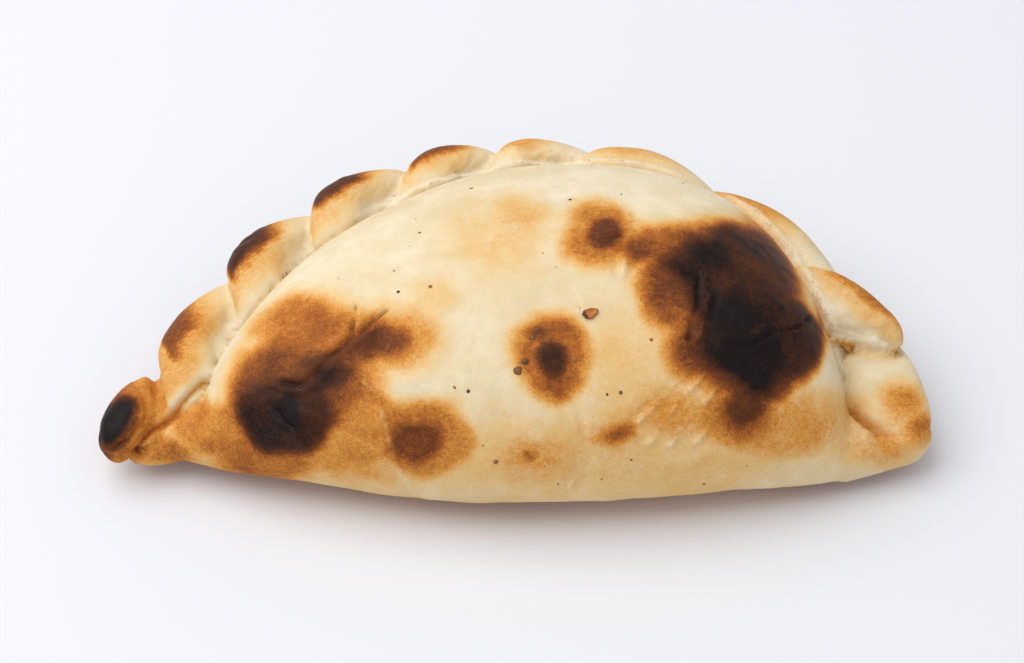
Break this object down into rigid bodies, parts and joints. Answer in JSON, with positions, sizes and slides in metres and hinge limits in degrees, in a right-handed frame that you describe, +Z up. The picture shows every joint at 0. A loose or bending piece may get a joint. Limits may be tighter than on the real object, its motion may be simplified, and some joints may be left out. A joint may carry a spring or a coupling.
{
  "type": "empanada",
  "caption": "Baked half-moon pastry turnover with a domed filled body, scorched patches, and a twisted rope crimp along its curved edge.",
  "frame": {"origin": "middle of the bounding box in plan, on the surface that the empanada rests on", "axes": "+X along the half-moon from the knobbed tip to the flap tip, +Y from the folded front towards the crimp, +Z up"},
  "size_m": [0.1474, 0.0828, 0.0384],
  "materials": {
    "baked_crust": "matt baked wheat dough, pale cream with golden halos round dark scorched patches"
  },
  "bodies": {
    "root": {"crust": "baked_crust"}
  },
  "joints": []
}
